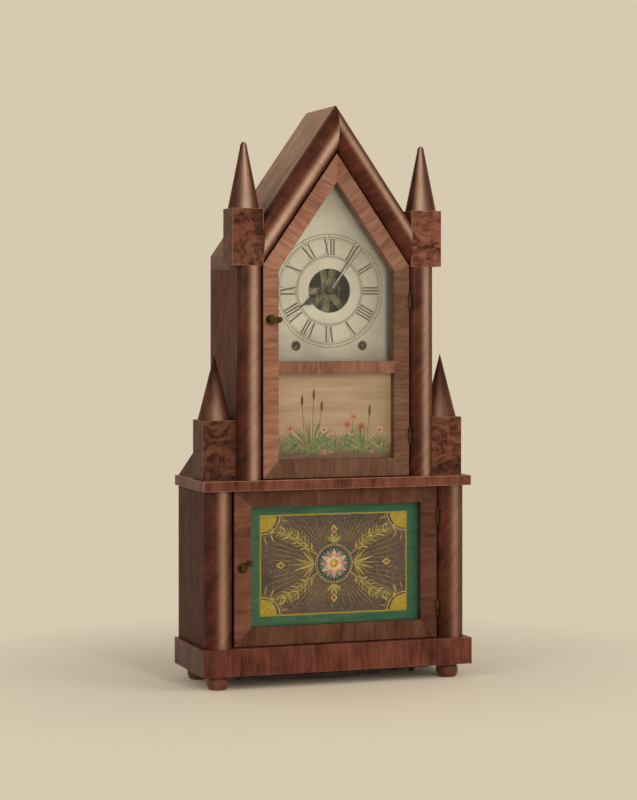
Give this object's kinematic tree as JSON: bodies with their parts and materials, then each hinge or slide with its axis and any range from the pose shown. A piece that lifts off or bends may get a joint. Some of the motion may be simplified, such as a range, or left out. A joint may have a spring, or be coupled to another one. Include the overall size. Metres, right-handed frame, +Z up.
{
  "type": "shelf clock",
  "caption": "Two-tier steeple shelf clock with half-round columns, a glazed gable door, a painted lower door, spires and a leaf-spring drive.",
  "frame": {"origin": "on the ground under the middle of the plinth", "axes": "+X to the right seen from the front, -Y towards the viewer, +Z up"},
  "size_m": [0.343, 0.126, 0.699],
  "materials": {
    "mahogany_base": "crotch mahogany veneer, French polished",
    "mahogany_dark": "dark mahogany veneer, French polished",
    "mahogany_door": "mahogany veneer, French polished, worn at the edges",
    "mahogany_burl": "burl veneer, French polished",
    "side_wood": "plain dark stained softwood, thin finish",
    "inner_wood": "unfinished pine",
    "dial_paint": "off-white painted zinc, aged",
    "clear_glass": "clear sheet glass",
    "upper_painting": "glass painted on its back",
    "lower_painting": "glass painted on its back",
    "brass": "rolled brass, aged",
    "latch_brass": "cast brass, worn",
    "blued_steel": "dark blued steel",
    "steel": "bright steel wire and rod",
    "spring_steel": "oiled dark spring steel",
    "iron": "black iron",
    "gong_steel": "blued gong wire"
  },
  "bodies": {
    "case": {"plinth_rails": "mahogany_base", "ball_feet": "mahogany_dark", "floor_board": "inner_wood", "lower_sides": "side_wood", "backboards": "inner_wood", "face_frame": "mahogany_dark", "lower_columns": "mahogany_dark", "waist_shelf": "mahogany_dark", "shoulder_boards": "mahogany_dark", "steeple_blocks": "mahogany_burl", "spires": "mahogany_dark", "upper_sides": "side_wood", "roof_boards": "mahogany_dark", "gable_mouldings": "mahogany_dark", "upper_columns": "mahogany_dark", "dial_rails": "inner_wood", "dial_plate": "dial_paint", "back_plate": "brass", "front_plate": "brass", "coil_gong": "gong_steel", "gong_base": "iron", "spring_saddle": "iron", "spring_middle": "spring_steel", "lever_brackets": "iron", "winding_chains": "steel", "case_hinge_leaves": "brass"},
    "upper_door": {"upper_door_frame": "mahogany_door", "dial_glass": "clear_glass", "upper_tablet": "upper_painting", "upper_door_hinge_leaves": "brass", "upper_latch_rose": "latch_brass"},
    "upper_latch": {"upper_latch_turn": "latch_brass"},
    "lower_door": {"lower_door_frame": "mahogany_door", "lower_tablet": "lower_painting", "lower_door_hinge_leaves": "brass", "lower_latch_rose": "latch_brass"},
    "lower_latch": {"lower_latch_turn": "latch_brass"},
    "minute_arbor": {"centre_wheel": "brass", "minute_hand": "blued_steel"},
    "motion_wheel": {"motion_wheel": "brass"},
    "hour_pipe": {"hour_wheel": "brass", "hour_hand": "blued_steel"},
    "time_great": {"time_great_wheel": "brass"},
    "time_second": {"time_second_wheel": "brass"},
    "time_third": {"time_third_wheel": "brass"},
    "escape_wheel": {"escape_wheel": "brass"},
    "verge": {"verge": "steel"},
    "pendulum": {"pendulum": "brass"},
    "time_drum": {"time_drum": "brass"},
    "strike_drum": {"strike_drum": "brass"},
    "strike_great": {"strike_great_wheel": "brass"},
    "strike_pin": {"strike_pin_wheel": "brass"},
    "fly": {"fly": "brass"},
    "hammer": {"hammer": "steel"},
    "time_lever": {"time_lever": "iron"},
    "strike_lever": {"strike_lever": "iron"},
    "time_link": {"time_link": "steel"},
    "strike_link": {"strike_link": "steel"},
    "time_spring_half": {"time_spring_half": "spring_steel"},
    "strike_spring_half": {"strike_spring_half": "spring_steel"}
  },
  "joints": [
    {"name": "upper_door_swing", "type": "hinge", "parent": "case", "child": "upper_door", "pos_m": [0.09405, -0.0527, 0.3786], "axis": [0, 0, 1], "range_deg": [0, 90]},
    {"name": "lower_door_swing", "type": "hinge", "parent": "case", "child": "lower_door", "pos_m": [0.13025, -0.0527, 0.1429], "axis": [0, 0, 1], "range_deg": [0, 100]},
    {"name": "upper_latch_turn", "type": "hinge", "parent": "upper_door", "child": "upper_latch", "pos_m": [-0.08385, -0.051, 0.4397], "axis": [0, 1, 0], "range_deg": [-90, 0]},
    {"name": "lower_latch_turn", "type": "hinge", "parent": "lower_door", "child": "lower_latch", "pos_m": [-0.11925, -0.051, 0.1443], "axis": [0, 1, 0], "range_deg": [-90, 0]},
    {"name": "minute_arbor_turn", "type": "hinge", "parent": "case", "child": "minute_arbor", "pos_m": [0, -0.012, 0.475], "axis": [0, 1, 0], "continuous": true},
    {"name": "motion_wheel_turn", "type": "hinge", "parent": "case", "child": "motion_wheel", "pos_m": [0.005, -0.013, 0.48366], "axis": [0, 1, 0], "continuous": true},
    {"name": "hour_pipe_turn", "type": "hinge", "parent": "case", "child": "hour_pipe", "pos_m": [0, -0.015, 0.475], "axis": [0, 1, 0], "continuous": true},
    {"name": "time_second_turn", "type": "hinge", "parent": "case", "child": "time_second", "pos_m": [0.0273, 0.003, 0.44857], "axis": [0, 1, 0], "continuous": true},
    {"name": "time_great_turn", "type": "hinge", "parent": "case", "child": "time_great", "pos_m": [0.043, 0.003, 0.408], "axis": [0, 1, 0], "continuous": true},
    {"name": "time_third_turn", "type": "hinge", "parent": "case", "child": "time_third", "pos_m": [0.00946, 0.003, 0.50098], "axis": [0, 1, 0], "continuous": true},
    {"name": "escape_turn", "type": "hinge", "parent": "case", "child": "escape_wheel", "pos_m": [-0.008, 0.003, 0.51319], "axis": [0, 1, 0], "continuous": true},
    {"name": "pendulum_swing", "type": "hinge", "parent": "case", "child": "pendulum", "pos_m": [-0.008, -0.018, 0.54519], "axis": [0, 1, 0], "range_deg": [-3, 3]},
    {"name": "verge_rock", "type": "hinge", "parent": "case", "child": "verge", "pos_m": [-0.008, 0.003, 0.53519], "axis": [0, 1, 0], "range_deg": [-4.2, 4.2]},
    {"name": "strike_pin_turn", "type": "hinge", "parent": "case", "child": "strike_pin", "pos_m": [-0.0273, 0.003, 0.44857], "axis": [0, 1, 0], "continuous": true},
    {"name": "strike_great_turn", "type": "hinge", "parent": "case", "child": "strike_great", "pos_m": [-0.043, 0.003, 0.408], "axis": [0, 1, 0], "continuous": true},
    {"name": "fly_turn", "type": "hinge", "parent": "case", "child": "fly", "pos_m": [-0.03734, 0.003, 0.47342], "axis": [0, 1, 0], "continuous": true},
    {"name": "hammer_lift", "type": "hinge", "parent": "case", "child": "hammer", "pos_m": [-0.062, 0.003, 0.452], "axis": [0, 1, 0], "range_deg": [0, 8], "stiffness_Nm_per_rad": 0.01, "springref_deg": -20.05},
    {"name": "time_lever_lift", "type": "hinge", "parent": "case", "child": "time_lever", "pos_m": [0.133, 0.002, 0.145], "axis": [0, 1, 0], "range_deg": [0, 60]},
    {"name": "time_drum_turn", "type": "hinge", "parent": "case", "child": "time_drum", "pos_m": [0.043, 0.002, 0.408], "axis": [0, -1, 0], "range_deg": [0, 615]},
    {"name": "time_link_hang", "type": "hinge", "parent": "time_lever", "child": "time_link", "pos_m": [0.11221, 0.002, 0.133], "axis": [0, -1, 0], "range_deg": [0, 60]},
    {"name": "time_spring_lift", "type": "hinge", "parent": "case", "child": "time_spring_half", "pos_m": [0.02, 0.002, 0.0078], "axis": [0, -1, 0], "range_deg": [0, 15.3]},
    {"name": "strike_lever_lift", "type": "hinge", "parent": "case", "child": "strike_lever", "pos_m": [-0.133, 0.002, 0.145], "axis": [0, -1, 0], "range_deg": [0, 60]},
    {"name": "strike_drum_turn", "type": "hinge", "parent": "case", "child": "strike_drum", "pos_m": [-0.043, 0.002, 0.408], "axis": [0, 1, 0], "range_deg": [0, 615]},
    {"name": "strike_link_hang", "type": "hinge", "parent": "strike_lever", "child": "strike_link", "pos_m": [-0.11221, 0.002, 0.133], "axis": [0, 1, 0], "range_deg": [0, 60]},
    {"name": "strike_spring_lift", "type": "hinge", "parent": "case", "child": "strike_spring_half", "pos_m": [-0.02, 0.002, 0.0078], "axis": [0, 1, 0], "range_deg": [0, 15.3]}
  ],
  "couplings": [
    {"joint": "motion_wheel_turn", "follows": "minute_arbor_turn", "ratio": -0.33333},
    {"joint": "hour_pipe_turn", "follows": "minute_arbor_turn", "ratio": 0.083333},
    {"joint": "time_second_turn", "follows": "minute_arbor_turn", "ratio": -0.11111},
    {"joint": "time_great_turn", "follows": "minute_arbor_turn", "ratio": 0.0097222},
    {"joint": "time_third_turn", "follows": "minute_arbor_turn", "ratio": -10.286},
    {"joint": "escape_turn", "follows": "minute_arbor_turn", "ratio": 94.041},
    {"joint": "verge_rock", "follows": "pendulum_swing", "ratio": 1.4},
    {"joint": "strike_great_turn", "follows": "strike_pin_turn", "ratio": -0.0875},
    {"joint": "fly_turn", "follows": "strike_pin_turn", "ratio": -8.5714},
    {"joint": "time_drum_turn", "follows": "time_lever_lift", "ratio": 10.25},
    {"joint": "time_link_hang", "follows": "time_lever_lift", "ratio": 1},
    {"joint": "time_spring_lift", "follows": "time_lever_lift", "ratio": 0.255},
    {"joint": "strike_drum_turn", "follows": "strike_lever_lift", "ratio": 10.25},
    {"joint": "strike_link_hang", "follows": "strike_lever_lift", "ratio": 1},
    {"joint": "strike_spring_lift", "follows": "strike_lever_lift", "ratio": 0.255}
  ]
}
